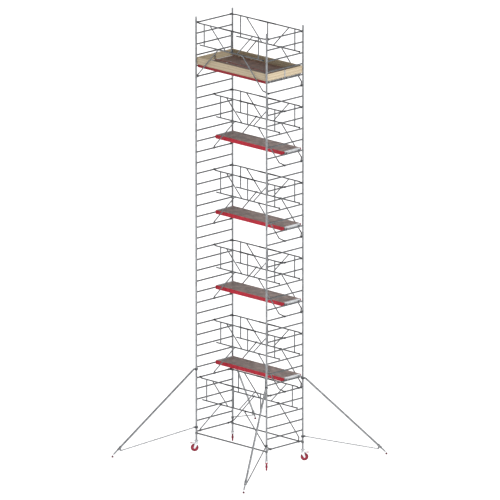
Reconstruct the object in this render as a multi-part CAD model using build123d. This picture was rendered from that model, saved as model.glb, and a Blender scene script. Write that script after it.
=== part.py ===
"""Mobile tower scaffold: aluminium ladder frames on four adjustable castors, with folding guardrails,
trapdoor platforms, a toe-boarded working deck and four telescopic stabilisers.

Millimetres. The origin is on the floor at the middle of the tower. X runs along the platforms,
Y across the tower, Z up. The two ladder frames of each tier stand at +X and -X.
"""

from build123d import *
from math import atan2, cos, degrees, hypot, radians, sin
import os

# --- driving dimensions -------------------------------------------------------------------------
BAY_LENGTH = 2500.0  # between the two ladder frames, upright centre to upright centre
FRAME_WIDTH = 1290.0  # between the two uprights of one frame, centre to centre
RUNG_PITCH = 280.0
FIRST_RUNG_Z = 520.0
FRAME_FOOT_Z = 300.0  # bottom end of the lowest uprights
JOINT_DROP = 140.0  # of a joint between two tiers below the upper tier's first rung
TIER_RUNGS = (7, 7, 7, 7, 7, 4)  # rungs in each tier's frames, from the floor up
PLATFORM_RUNGS = (7, 14, 21, 28, 35)  # the rung that carries each platform level

UPRIGHT_R = 25.0
TUBE_WALL = 2.0
RUNG_R = 19.0
RUNG_WALL = 2.0
WELD_GAP = 0.1  # left between two welded tubes, so that each stays a solid of its own
JOINT_GAP = 0.5  # between the ends of two stacked uprights
SPIGOT_R = UPRIGHT_R - TUBE_WALL - 0.3
SPIGOT_LENGTH = 300.0
CLIP_RISE = 95.0  # of a spring clip above its joint

# guardrail unit, measured from the line of its hooks and from the height of its top rail
RAIL_R = 17.5
RAIL_WALL = 2.0
RAIL_OFFSET = 65.0  # from the hooks' line outwards to the rails
RAIL_HALF = 1100.0  # half of the top rail between its two cast end fittings
RAIL_BEND_X = 1138.0
RAIL_HOOK_STEM = (-12.0, -7.0)  # where an end fitting runs into its claw, from the claw's middle
LOWER_RAIL_DROP = 2 * RUNG_PITCH
LOWER_RAIL_HALF = 1110.0
POST_X = 960.0
BRACE_TOP_X = 755.0
BRACE_FOOT_X = 200.0
BRACE_R = 14.5
LEG_R = 15.0
LEG_OFFSET = RAIL_OFFSET + 40.0
LEG_PIVOT_X = 430.0
LEG_CUFF_HALF = 18.0  # half the length of the pivot bracket's cuff on the lower rail
LEG_BOSS_R = 16.5
LEG_SOCKET = (23.5, -25.5)  # from the pivot along X and Z to the end of the leg's socket
LEG_END_X = 1112.0
LEG_RISE = 118.0  # of the leg's lower end above its rung
FOOT_DROP = 5 * RUNG_PITCH  # from the top rail to the rung that the feet hold
GRIP_HALF = 300.0
GRIP_THICKNESS = 2.0
HOOK_WIDTH = 40.0
HOOK_R = 27.0
HOOK_CLEARANCE = 0.3

# where the hooks of the guardrail units sit across the tower
OUTER_HOOK_Y = FRAME_WIDTH / 2 - RAIL_OFFSET
BASE_HOOK_Y = 500.0
BASE_RAIL_RUNG = 6

# platforms, measured from the middle of the platform and from the height of its rung
PLATFORM_WIDTH = 606.0
PLATFORM_MIDDLE_Y = 310.0
BEAM_BOTTOM = -35.0
DECK_TOP = 65.0
DECK_THICKNESS = 12.0
BEAM_WALL = 3.0
BEAM_FLANGE = 32.0
END_BEAM_FACE = 1215.0
END_BEAM_WIDTH = 50.0
HATCH_X = (-1050.0, -400.0)
HATCH_CLEARANCE = 3.0
BATTEN_WIDTH = 30.0
BATTEN_DEPTH = 22.0
HINGE_AXIS_Y = 262.0  # from the middle of the platform out to the trapdoor's hinge
HINGE_AXIS_Z = DECK_TOP + 6.0
HINGE_R = 5.5
HINGE_PIN_R = 3.0
HINGE_INSET = 110.0  # of a hinge's middle from the trapdoor's end
KNUCKLE_HALF = 10.0  # half of the fixed knuckle, between the two moving ones
CROSS_MEMBER_X = (-1100.0, -375.0, 0.0, 390.0, 780.0)
CROSS_MEMBER_WIDTH = 30.0
CROSS_MEMBER_HEIGHT = 36.0
CROSS_MEMBER_WALL = 2.0
CLAW_Y = 225.0
CLAW_WIDTH = 46.0

# toe boards
TOE_HEIGHT = 182.0
TOE_THICKNESS = 22.0
TOE_FOOT = DECK_TOP - 22.0
TOE_LONG_HALF = 1222.0
TOE_LONG_FACE_Y = 636.5
TOE_END_HALF = 617.5
TOE_END_FACE_X = 1249.0
TOE_SADDLE_FOOT = RUNG_R + 0.5  # the saddles stand this far above the axis of the platform's rung

# castors, measured from the axis of the swivel
WHEEL_R = 100.0
WHEEL_WIDTH = 42.0
WHEEL_TRAIL = 45.0
HUB_R = 76.0
AXLE_R = 8.0
RUNNING_GAP = 0.05
FORK_CHEEK_Y = 26.0
FORK_CHEEK = 5.0
FORK_CROWN_Z = 211.0
FORK_CROWN_X = (-42.0, 84.0)
FORK_CROWN = 7.0  # thickness of the crown plate
BEARING_TOP_Z = 247.0
SPINDLE_R = 19.0
SPINDLE_TOP_Z = 800.0
NUT_BOTTOM_Z = 262.0
NUT_R = 30.0
NUT_WING_REACH = 56.0
PEDAL_PIVOT = (94.0, 214.0)
PEDAL_PIN_R = 4.0
PEDAL_HALF = 37.0

# stabilisers, measured from the axis of the upright, outwards along the floor
STABILISER_ANGLE = 60.2  # of the outrigger from the long side of the tower
STAB_TUBE_TOP = (85.0, 2130.0)
STAB_TUBE_END = (2035.0, 200.0)
STAB_TUBE_R = 25.0
STAB_LEG_R = 20.0
STAB_LEG_INSIDE = 900.0
STAB_FOOT_R = 2190.0
STAB_BALL_Z = 44.0
FOOT_R = 29.0
STAB_BALL_R = 14.0
UPPER_CLAMP_Z = 2150.0
LOWER_CLAMP_Z = 630.0
CLAMP_HEIGHT = 50.0
CLAMP_R = 34.0
CLAMP_GAP = 0.3  # between a clamp and the upright that it turns on
CLAMP_LUG_HALF = 21.0
CLAMP_LUG_REACH = 74.0
ARM_R = 14.0
ARM_START = (62.0, 626.0)
ARM_END = (1976.0, 160.0)

HORIZONTAL_BRACE_Z = 478.0
HORIZONTAL_BRACE_R = 19.0

HALF_BAY = BAY_LENGTH / 2
HALF_WIDTH = FRAME_WIDTH / 2
CORNERS = {
    "front_left": (-1, -1),
    "front_right": (1, -1),
    "rear_left": (-1, 1),
    "rear_right": (1, 1),
}
BASE_ALIGN = (Align.CENTER, Align.CENTER, Align.MIN)


# --- shared shapes ------------------------------------------------------------------------------
def rung_z(number):
    """Height of a rung's axis, counted from 1 at the bottom of the tower."""
    return FIRST_RUNG_Z + RUNG_PITCH * (number - 1)


def rod(start, end, radius):
    """A round bar from one point to another."""
    line = Vector(*end) - Vector(*start)
    bar = Cylinder(radius, line.length, align=BASE_ALIGN)
    return Plane(origin=start, z_dir=line).location * bar


def tube(start, end, radius, wall):
    """A round tube from one point to another."""
    return rod(start, end, radius) - rod(start, end, radius - wall)


def block(x, y, z):
    """A box between two limits along each axis."""
    size = [high - low for low, high in (x, y, z)]
    middle = [(high + low) / 2 for low, high in (x, y, z)]
    return Pos(*middle) * Box(*size)


def ring(radius, bore, height):
    """A flat ring about Z that stands on the XY plane."""
    return Cylinder(radius, height, align=BASE_ALIGN) - Cylinder(bore, height, align=BASE_ALIGN)


def both_ends(shape):
    """A shape and its mirror image across the middle of the bay."""
    return [shape, mirror(shape, Plane.YZ)]


def save(node, shapes):
    """Writes one sub-part's solids as one STEP file."""
    solids = [solid for shape in shapes for solid in shape.solids()]
    export_step(Compound(solids), f"parts/{node}.step")


# --- ladder frames ------------------------------------------------------------------------------
def tier_limits(tier):
    """Heights of the bottom and the top of a tier's uprights."""
    first = FIRST_RUNG_Z + RUNG_PITCH * sum(TIER_RUNGS[:tier]) - JOINT_DROP
    bottom = FRAME_FOOT_Z if tier == 0 else first
    return bottom, first + RUNG_PITCH * TIER_RUNGS[tier]


def coped_rung():
    """One rung across the frame, its ends cut round to meet the uprights."""
    rung = tube((0, -HALF_WIDTH, 0), (0, HALF_WIDTH, 0), RUNG_R, RUNG_WALL)
    for side in (-1, 1):
        bottom = (0, side * HALF_WIDTH, -RUNG_R * 2)
        top = (0, side * HALF_WIDTH, RUNG_R * 2)
        rung = rung - rod(bottom, top, UPRIGHT_R + WELD_GAP)
    return rung.solids().sort_by(SortBy.VOLUME)[-1]


def ladder_frames(tier, rung):
    """The left and the right ladder frame of one tier."""
    bottom, top = tier_limits(tier)
    first = 1 + sum(TIER_RUNGS[:tier])
    pieces = []
    for x in (-HALF_BAY, HALF_BAY):
        for y in (-HALF_WIDTH, HALF_WIDTH):
            pieces.append(tube((x, y, bottom + JOINT_GAP), (x, y, top), UPRIGHT_R, TUBE_WALL))
        for number in range(first, first + TIER_RUNGS[tier]):
            pieces.append(Pos(x, 0, rung_z(number)) * rung)
    return pieces


def at_upright_joints(shape, height=0.0):
    """Copies of a shape at every joint between two stacked uprights."""
    copies = []
    for tier in range(1, len(TIER_RUNGS)):
        for side_x, side_y in CORNERS.values():
            place = Pos(side_x * HALF_BAY, side_y * HALF_WIDTH, tier_limits(tier)[0] + height)
            copies.append(place * Rot(0, 0, 90 + 90 * side_x) * shape)
    return copies


def frame_spigots():
    """Spigots that join stacked uprights, and the caps in the topmost tube ends."""
    spigot = Pos(0, 0, -SPIGOT_LENGTH / 2) * ring(SPIGOT_R, SPIGOT_R - 2.5, SPIGOT_LENGTH)
    top = tier_limits(len(TIER_RUNGS) - 1)[1]
    plug = Pos(0, 0, -30) * Cylinder(SPIGOT_R, 30, align=BASE_ALIGN)
    dome = Cylinder(UPRIGHT_R - 0.5, 14, align=BASE_ALIGN)
    cap = plug + fillet(dome.edges().group_by(Axis.Z)[-1], 8)
    caps = []
    for side_x, side_y in CORNERS.values():
        caps.append(Pos(side_x * HALF_BAY, side_y * HALF_WIDTH, top + WELD_GAP) * cap)
    return at_upright_joints(spigot) + caps


def frame_clips():
    """Spring clips that lock each upright onto the spigot below it."""
    band = ring(UPRIGHT_R + 3.2, UPRIGHT_R + 0.4, 10)
    mouth = block((0, 40), (-12, 12), (-1, 11))
    ear = block((-UPRIGHT_R - 13, -UPRIGHT_R - 2), (-7, 7), (0, 10))
    return at_upright_joints(band - mouth + ear, CLIP_RISE)


def horizontal_braces():
    """The two long tubes low on the tower, with the collars that hold the uprights."""
    pieces = []
    for y in (-HALF_WIDTH, HALF_WIDTH):
        reach = HALF_BAY - UPRIGHT_R - 22
        middle = tube((-reach, y, HORIZONTAL_BRACE_Z), (reach, y, HORIZONTAL_BRACE_Z), HORIZONTAL_BRACE_R, 2)
        pieces.append(middle)
        for x, end in ((HALF_BAY, reach), (-HALF_BAY, -reach)):
            collar = Pos(x, y, HORIZONTAL_BRACE_Z - 20) * Cylinder(CLAMP_R, 40, align=BASE_ALIGN)
            stem = rod((end + WELD_GAP * (1 if x > 0 else -1), y, HORIZONTAL_BRACE_Z),
                       (x, y, HORIZONTAL_BRACE_Z), HORIZONTAL_BRACE_R)
            upright = Pos(x, y, 0) * Cylinder(UPRIGHT_R + WELD_GAP, HORIZONTAL_BRACE_Z * 2, align=BASE_ALIGN)
            pieces.append(collar + stem - upright)
    return pieces


# --- guardrails ---------------------------------------------------------------------------------
def rung_claw():
    """A claw about a rung that lies along Y, open below and towards the bay."""
    claw = Rot(90, 0, 0) * Cylinder(HOOK_R, HOOK_WIDTH)
    mouth = Rot(0, 35, 0) * block((-12, 12), (-40, 40), (-60, 0))
    return claw - mouth


def guardrail_tubes():
    """The welded and the folding tubes of one guardrail unit, its hooks on the plane Y = 0."""
    low = -LOWER_RAIL_DROP
    pieces = []
    for half, height in ((RAIL_HALF, 0), (LOWER_RAIL_HALF, low)):
        pieces.append(tube((-half, -RAIL_OFFSET, height), (half, -RAIL_OFFSET, height), RAIL_R, RAIL_WALL))
    rails = [
        rod((-HALF_BAY, -RAIL_OFFSET, height), (HALF_BAY, -RAIL_OFFSET, height), RAIL_R + WELD_GAP)
        for height in (0, low)
    ]
    grip_gap = RAIL_R + GRIP_THICKNESS + WELD_GAP
    grip = rod((-GRIP_HALF, -RAIL_OFFSET, 0), (GRIP_HALF, -RAIL_OFFSET, 0), grip_gap)
    post = tube((POST_X, -RAIL_OFFSET, low), (POST_X, -RAIL_OFFSET, 0), RAIL_R - 1, RAIL_WALL)
    middle_post = Pos(-POST_X, 0, 0) * post - grip
    brace = tube((BRACE_FOOT_X, -RAIL_OFFSET, low), (BRACE_TOP_X, -RAIL_OFFSET, 0), BRACE_R, RAIL_WALL)
    post, middle_post, brace = [
        (member - rails[0] - rails[1]).solids().sort_by(SortBy.VOLUME)[-1]
        for member in (post, middle_post, brace)
    ]
    rail = rod((-HALF_BAY, -RAIL_OFFSET, low), (HALF_BAY, -RAIL_OFFSET, low), RAIL_R + WELD_GAP)
    pivot_x, socket_x = LEG_PIVOT_X, LEG_PIVOT_X + LEG_SOCKET[0]
    socket_z = low + LEG_SOCKET[1]
    cuff_start = (pivot_x - LEG_CUFF_HALF, -RAIL_OFFSET, low)
    cuff = rod(cuff_start, (pivot_x + LEG_CUFF_HALF, -RAIL_OFFSET, low), RAIL_R + 3)
    boss = rod((pivot_x, -RAIL_OFFSET - 5, low), (pivot_x, -LEG_OFFSET - 17, low), LEG_BOSS_R)
    socket = rod((pivot_x, -LEG_OFFSET, low), (socket_x, -LEG_OFFSET, socket_z), LEG_R)
    pivot = cuff + boss + socket - rail
    leg_top = (socket_x + 0.5, -LEG_OFFSET, socket_z - 0.5)
    leg_end = (LEG_END_X, -LEG_OFFSET, LEG_RISE - FOOT_DROP)
    leg = tube(leg_top, leg_end, LEG_R, RAIL_WALL)
    return pieces + [middle_post] + both_ends(post) + both_ends(brace) + both_ends(leg) + both_ends(pivot)


def bent_rod(points, radius, bend):
    """A round bar along a route with rounded corners."""
    route = FilletPolyline(*points, radius=bend)
    section = Plane(origin=route @ 0, z_dir=route % 0) * Circle(radius)
    return sweep(section, path=route)


def end_hook(points, radius, bend, height):
    """A cast fitting that runs from a tube's end to a claw on the rung at the bay's end."""
    rung = rod((HALF_BAY, -100, height), (HALF_BAY, 100, height), RUNG_R + HOOK_CLEARANCE)
    hook = Pos(HALF_BAY, 0, height) * rung_claw() + bent_rod(points, radius, bend) - rung
    return hook.solids().sort_by(SortBy.VOLUME)[-1]


def guardrail_fittings(turned):
    """The dark fittings of one guardrail unit: hooks, the lower rail's end cap and the grip.

    The cap is on the unit's right-hand end, or on its left-hand end if the unit is turned.
    """
    low = -LOWER_RAIL_DROP
    stem_x, stem_y = HALF_BAY + RAIL_HOOK_STEM[0], RAIL_HOOK_STEM[1]
    top_route = [(RAIL_HALF + WELD_GAP, -RAIL_OFFSET, 0), (RAIL_BEND_X, -RAIL_OFFSET, 0), (stem_x, stem_y, 0)]
    top_hook = end_hook(top_route, RAIL_R, 60, 0)

    leg_end = LEG_RISE - FOOT_DROP
    foot_route = [
        (LEG_END_X + 1, -LEG_OFFSET, leg_end - 1),
        (LEG_END_X + 42, -LEG_OFFSET, leg_end - 45),
        (stem_x, stem_y, 8 - FOOT_DROP),
    ]
    foot_hook = end_hook(foot_route, LEG_R, 30, -FOOT_DROP)

    cap_start = (LOWER_RAIL_HALF + WELD_GAP, -RAIL_OFFSET, low)
    cap = rod(cap_start, (LOWER_RAIL_HALF + 26, -RAIL_OFFSET, low), RAIL_R + 5)
    pieces = both_ends(top_hook) + both_ends(foot_hook)
    pieces.append(mirror(cap, Plane.YZ) if turned else cap)
    grip = rod((-GRIP_HALF, -RAIL_OFFSET, 0), (GRIP_HALF, -RAIL_OFFSET, 0), RAIL_R + GRIP_THICKNESS)
    rail = rod((-HALF_BAY, -RAIL_OFFSET, 0), (HALF_BAY, -RAIL_OFFSET, 0), RAIL_R + WELD_GAP)
    return pieces + [grip - rail]


def guardrail_places():
    """Level name to the places of its guardrail units: (hooks' Y, top rail's rung, turned or not)."""
    places = {"base": [(-BASE_HOOK_Y, BASE_RAIL_RUNG, False), (BASE_HOOK_Y, BASE_RAIL_RUNG, True)]}
    for level, rung in enumerate(PLATFORM_RUNGS[:-1], start=1):
        places[f"level_{level}"] = [(0.0, rung + 4, False), (OUTER_HOOK_Y, rung + 4, True)]
    top_rung = PLATFORM_RUNGS[-1] + 4
    places["top"] = [(-OUTER_HOOK_Y, top_rung, False), (OUTER_HOOK_Y, top_rung, True)]
    return places


def place_unit(pieces, hook_y, rung, turned):
    """One guardrail unit's pieces, put at its rung and turned so that its rails face outwards."""
    location = Pos(0, hook_y, rung_z(rung)) * Rot(0, 0, 180 if turned else 0)
    return [location * piece for piece in pieces]


# --- platforms ----------------------------------------------------------------------------------
def side_beam(side):
    """A channel along one side of the platform, open towards the platform's middle."""
    edge = PLATFORM_WIDTH / 2
    reach = END_BEAM_FACE
    web = block((-reach, reach), (edge - BEAM_WALL, edge), (BEAM_BOTTOM, DECK_TOP))
    foot = block((-reach, reach), (edge - BEAM_FLANGE, edge), (BEAM_BOTTOM, BEAM_BOTTOM + BEAM_WALL))
    shelf_top = DECK_TOP - DECK_THICKNESS - 0.3
    shelf = block((-reach, reach), (edge - BEAM_FLANGE, edge), (shelf_top - BEAM_WALL, shelf_top))
    beam = web + foot + shelf
    return beam if side > 0 else mirror(beam, Plane.XZ)


def end_beam():
    """A box section across one end of the platform, between the side channels' webs."""
    reach = PLATFORM_WIDTH / 2 - BEAM_FLANGE - 0.3
    inner = END_BEAM_FACE - END_BEAM_WIDTH
    outer = block((inner, END_BEAM_FACE), (-reach, reach), (BEAM_BOTTOM + 2, DECK_TOP))
    hollow = block((inner + 3, END_BEAM_FACE - 3), (-reach, reach), (BEAM_BOTTOM + 5, DECK_TOP - 3))
    return outer - hollow


def platform_frame(hatch_side):
    """Channels, end beams, cross members and the trapdoor's fixed hinge pieces."""
    pieces = [side_beam(-1), side_beam(1)] + both_ends(end_beam())
    reach = PLATFORM_WIDTH / 2 - BEAM_WALL - 0.3
    top = DECK_TOP - DECK_THICKNESS - BEAM_WALL - 0.6
    for x in CROSS_MEMBER_X:
        half, wall = CROSS_MEMBER_WIDTH / 2, CROSS_MEMBER_WALL
        bottom = top - CROSS_MEMBER_HEIGHT
        bar = block((x - half, x + half), (-reach, reach), (bottom, top))
        bore = block((x - half + wall, x + half - wall), (-reach, reach), (bottom + wall, top - wall))
        pieces.append(bar - bore)
    edge_y = HINGE_AXIS_Y + 16
    for x in hinge_centres():
        pin = rod((x - 34, HINGE_AXIS_Y, HINGE_AXIS_Z), (x + 34, HINGE_AXIS_Y, HINGE_AXIS_Z), HINGE_PIN_R)
        near, far = x - KNUCKLE_HALF, x + KNUCKLE_HALF
        barrel = rod((near, HINGE_AXIS_Y, HINGE_AXIS_Z), (far, HINGE_AXIS_Y, HINGE_AXIS_Z), HINGE_R)
        leaf = block((near, far), (HINGE_AXIS_Y, edge_y), (DECK_TOP + 0.5, DECK_TOP + 3))
        knuckle = pin + barrel + leaf
        pieces.append(knuckle if hatch_side > 0 else mirror(knuckle, Plane.XZ))
    return pieces


def hinge_centres():
    """Where the trapdoor's two hinges sit along X."""
    low, high = HATCH_X
    return (low + HINGE_INSET, high - HINGE_INSET)


def platform_deck(hatch_side):
    """The fixed plywood: the long panel, the strip beyond the trapdoor and the strip behind its hinge."""
    edge = PLATFORM_WIDTH / 2 - BEAM_WALL - 0.5
    z = (DECK_TOP - DECK_THICKNESS, DECK_TOP)
    inner = END_BEAM_FACE - END_BEAM_WIDTH - 0.5
    gap = HATCH_CLEARANCE / 2
    long_panel = block((HATCH_X[1] + gap, inner), (-edge, edge), z)
    end_strip = block((-inner, HATCH_X[0] - gap), (-edge, edge), z)
    hinge_strip = block((HATCH_X[0] - gap + 0.5, HATCH_X[1] + gap - 0.5), (HINGE_AXIS_Y + gap, edge), z)
    if hatch_side < 0:
        hinge_strip = mirror(hinge_strip, Plane.XZ)
    return [long_panel, end_strip, hinge_strip]


def hatch(hatch_side):
    """The trapdoor: plywood panel, stiffening battens, moving hinge knuckles and a pull ring plate."""
    gap = HATCH_CLEARANCE / 2
    near = -(PLATFORM_WIDTH / 2 - BEAM_WALL - 4)
    x = (HATCH_X[0] + gap, HATCH_X[1] - gap)
    panel = block(x, (near, HINGE_AXIS_Y - gap), (DECK_TOP - DECK_THICKNESS, DECK_TOP))
    pieces = [panel]
    batten_y = (-PLATFORM_WIDTH / 2 + BEAM_FLANGE + 8, HINGE_AXIS_Y - 12)
    batten_z = (DECK_TOP - DECK_THICKNESS - BATTEN_DEPTH, DECK_TOP - DECK_THICKNESS - 0.2)
    for start in (x[0] + BATTEN_WIDTH, x[1] - 2 * BATTEN_WIDTH):
        pieces.append(block((start, start + BATTEN_WIDTH), batten_y, batten_z))
    for centre in hinge_centres():
        gap_x = KNUCKLE_HALF + 0.5
        for low, high in ((centre - 32, centre - gap_x), (centre + gap_x, centre + 32)):
            barrel = rod((low, HINGE_AXIS_Y, HINGE_AXIS_Z), (high, HINGE_AXIS_Y, HINGE_AXIS_Z), HINGE_R)
            leaf = block((low, high), (HINGE_AXIS_Y - 42, HINGE_AXIS_Y), (DECK_TOP + 0.2, DECK_TOP + 2.7))
            bore = rod((low, HINGE_AXIS_Y, HINGE_AXIS_Z), (high, HINGE_AXIS_Y, HINGE_AXIS_Z),
                       HINGE_PIN_R + RUNNING_GAP)
            pieces.append(barrel + leaf - bore)
    middle = (x[0] + x[1]) / 2
    plate = block((middle - 45, middle + 45), (near + 35, near + 75), (DECK_TOP + 0.2, DECK_TOP + 3))
    pieces.append(plate)
    return pieces if hatch_side > 0 else [mirror(piece, Plane.XZ) for piece in pieces]


def platform_claw():
    """One corner claw: a cheek bolted to the end beam and a hook over the rung."""
    hook = Rot(90, 0, 0) * Cylinder(HOOK_R + 2, CLAW_WIDTH)
    back_x = (END_BEAM_FACE - HALF_BAY + 0.3, 0)
    back = block(back_x, (-CLAW_WIDTH / 2, CLAW_WIDTH / 2), (BEAM_BOTTOM + 4, 42))
    bore = Rot(90, 0, 0) * Cylinder(RUNG_R + HOOK_CLEARANCE, CLAW_WIDTH * 2)
    mouth = block((-RUNG_R - HOOK_CLEARANCE, 60), (-60, 60), (-60, 0))
    solid = (hook + back) - bore - mouth
    return Pos(HALF_BAY, 0, 0) * solid.solids().sort_by(SortBy.VOLUME)[-1]


def platform_claws():
    """The four claws of one platform."""
    claw = platform_claw()
    pieces = []
    for y in (-CLAW_Y, CLAW_Y):
        pieces += both_ends(Pos(0, y, 0) * claw)
    return pieces


def platform_places():
    """Platform name to (side of the tower, rung): +1 is the rear half, -1 the front half."""
    places = {f"{level}": (1, rung) for level, rung in enumerate(PLATFORM_RUNGS[:-1], start=1)}
    places["top_rear"] = (1, PLATFORM_RUNGS[-1])
    places["top_front"] = (-1, PLATFORM_RUNGS[-1])
    return places


# --- toe boards ---------------------------------------------------------------------------------
def toe_boards():
    """The toe boards along the front and the rear of the working deck and across its ends."""
    foot = rung_z(PLATFORM_RUNGS[-1]) + TOE_FOOT
    z = (foot, foot + TOE_HEIGHT)
    pieces = []
    for side in (-1, 1):
        y = sorted((side * TOE_LONG_FACE_Y, side * (TOE_LONG_FACE_Y - TOE_THICKNESS)))
        pieces.append(block((-TOE_LONG_HALF, TOE_LONG_HALF), y, z))
    end_x = (TOE_END_FACE_X - TOE_THICKNESS, TOE_END_FACE_X)
    return pieces + both_ends(block(end_x, (-TOE_END_HALF, TOE_END_HALF), z))


def toe_board_clips():
    """Saddles over the end boards and angles in the four corners."""
    foot = rung_z(PLATFORM_RUNGS[-1]) + TOE_FOOT
    top = foot + TOE_HEIGHT
    x = (TOE_END_FACE_X - TOE_THICKNESS - 3.2, TOE_END_FACE_X + 3.2)
    rung_top = rung_z(PLATFORM_RUNGS[-1]) + TOE_SADDLE_FOOT
    saddle = block(x, (-20, 20), (rung_top, top + 3))
    slot = block((x[0] + 3, x[1] - 3), (-30, 30), (0, top + 0.2))
    pieces = both_ends(saddle - slot)
    inner_x = TOE_END_FACE_X - TOE_THICKNESS
    inner_y = TOE_LONG_FACE_Y - TOE_THICKNESS
    z = (foot + 30, top - 20)
    for side in (-1, 1):
        y_far, y_near = side * (inner_y - 0.2), side * (inner_y - 2.7)
        y_leg = side * (inner_y - 36)
        angle = block((inner_x - 36, inner_x - 0.2), sorted((y_far, y_near)), z)
        angle = angle + block((inner_x - 2.7, inner_x - 0.2), sorted((y_far, y_leg)), z)
        pieces += both_ends(angle)
    return pieces


# --- castors ------------------------------------------------------------------------------------
def castor_spindle():
    """The screwed spindle with its base flange, sliding in the upright."""
    foot = BEARING_TOP_Z + 9
    shaft = Pos(0, 0, foot) * Cylinder(SPINDLE_R, SPINDLE_TOP_Z - foot, align=BASE_ALIGN)
    flange = Pos(0, 0, BEARING_TOP_Z + 0.5) * Cylinder(32, 8.5, align=BASE_ALIGN)
    return [shaft + flange]


def wing_nut():
    """The adjusting nut under the upright: hub, centring collar and two wings."""
    top = FRAME_FOOT_Z
    hub = Pos(0, 0, NUT_BOTTOM_Z) * Cylinder(NUT_R, top - NUT_BOTTOM_Z, align=BASE_ALIGN)
    collar = Pos(0, 0, top) * Cylinder(UPRIGHT_R - TUBE_WALL - 0.4, 14, align=BASE_ALIGN)
    wing = block((NUT_R - 8, NUT_WING_REACH), (-8, 8), (NUT_BOTTOM_Z + 5, top - 6))
    wing = fillet(wing.edges().filter_by(Axis.Y).group_by(Axis.X)[-1], 10)
    nut = hub + collar + wing + Rot(0, 0, 180) * wing
    return [nut - Cylinder(SPINDLE_R + RUNNING_GAP, top * 3)]


def castor_fork():
    """The swivelling fork: bearing head, crown plate, two cheeks and the axle bolt."""
    crown_top = FORK_CROWN_Z + FORK_CROWN
    head = Pos(0, 0, crown_top) * Cone(40, 31, BEARING_TOP_Z - crown_top, align=BASE_ALIGN)
    width = FORK_CHEEK_Y + FORK_CHEEK
    crown = block(FORK_CROWN_X, (-width, width), (FORK_CROWN_Z, crown_top))
    pin_x, pin_z = PEDAL_PIVOT
    trunk = crown + head + rod((pin_x, -width, pin_z), (pin_x, width, pin_z), PEDAL_PIN_R)
    for y in ((-width, 3 - FORK_CHEEK_Y), (FORK_CHEEK_Y - 3, width)):
        trunk = trunk + block((80, pin_x + 9), y, (pin_z - 8, pin_z + 8))
    outline = make_hull(
        (
            Sketch() + Pos(WHEEL_TRAIL, WHEEL_R) * Circle(24)
            + Pos(0, FORK_CROWN_Z - 5) * Rectangle(78, 10)
        ).edges()
    )
    pieces = [trunk]
    for side in (-1, 1):
        y = FORK_CHEEK_Y if side < 0 else -FORK_CHEEK_Y - FORK_CHEEK
        plate = extrude(Plane(origin=(0, -y, 0), x_dir=(1, 0, 0), z_dir=(0, -1, 0)) * outline, FORK_CHEEK)
        hole = rod((WHEEL_TRAIL, -60, WHEEL_R), (WHEEL_TRAIL, 60, WHEEL_R), AXLE_R + WELD_GAP)
        pieces.append(plate - hole - block((-100, 200), (-60, 60), (FORK_CROWN_Z - WELD_GAP, 300)))
    reach = width + 12
    bolt = rod((WHEEL_TRAIL, -reach, WHEEL_R), (WHEEL_TRAIL, reach, WHEEL_R), AXLE_R)
    for side in (-1, 1):
        near = Plane(origin=(WHEEL_TRAIL, side * (width + WELD_GAP), WHEEL_R), z_dir=(0, side, 0))
        bolt = bolt + extrude(near * RegularPolygon(14, 6), 9)
    pieces.append(bolt)
    return pieces


def castor_wheel():
    """The wheel on its axle: the tyre ring and the wheel centre with its boss."""
    half = WHEEL_WIDTH / 2
    bore = HUB_R + 0.1
    tyre = Cylinder(WHEEL_R, WHEEL_WIDTH) - Cylinder(bore, WHEEL_WIDTH)
    tyre = fillet(tyre.edges().filter_by(GeomType.CIRCLE).sort_by(SortBy.LENGTH)[-2:], 6)
    hub = Cylinder(HUB_R, WHEEL_WIDTH - 14) + Cylinder(26, 2 * (half + 4))
    hub = hub - Cylinder(AXLE_R + RUNNING_GAP, WHEEL_WIDTH * 2)
    place = Pos(WHEEL_TRAIL, 0, WHEEL_R) * Rot(90, 0, 0)
    return [place * tyre, place * hub]


def brake_pedal():
    """The pedal that presses on the wheel, pivoted behind the crown plate."""
    x, z = PEDAL_PIVOT
    half = FORK_CHEEK_Y - 4
    barrel = rod((x, -half, z), (x, half, z), 8)
    bore = rod((x, -40, z), (x, 40, z), PEDAL_PIN_R + RUNNING_GAP)
    neck = block((x, x + 15), (-half, half), (z + 1, z + 7))
    tread = block((x + 14, x + 62), (-PEDAL_HALF, PEDAL_HALF), (z + 1, z + 7))
    lip = block((x + 56, x + 62), (-PEDAL_HALF, PEDAL_HALF), (z + 1, z + 16))
    return [barrel + neck + tread + lip - bore]


def at_corner(pieces, name, angle):
    """Pieces of one corner of the tower, turned about the upright's axis and put there."""
    side_x, side_y = CORNERS[name]
    place = Pos(side_x * HALF_BAY, side_y * HALF_WIDTH, 0) * Rot(0, 0, angle)
    return [place * piece for piece in pieces]


def castor_angle(name):
    """The direction in which a castor trails: outwards along the corner's diagonal."""
    side_x, side_y = CORNERS[name]
    return degrees(atan2(side_y, side_x))


# --- stabilisers --------------------------------------------------------------------------------
def flat(point):
    """A point of the stabiliser's upright plane, given as (outwards, height)."""
    return (point[0], 0, point[1])


def along_stabiliser(distance, drop=0.0):
    """A point on the main tube's axis, counted from its lower end, or that far below the axis."""
    length = hypot(STAB_TUBE_END[0] - STAB_TUBE_TOP[0], STAB_TUBE_END[1] - STAB_TUBE_TOP[1])
    out = (STAB_TUBE_END[0] - STAB_TUBE_TOP[0]) / length
    down = (STAB_TUBE_END[1] - STAB_TUBE_TOP[1]) / length
    return (STAB_TUBE_END[0] + out * distance + down * drop, STAB_TUBE_END[1] + down * distance - out * drop)


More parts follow.
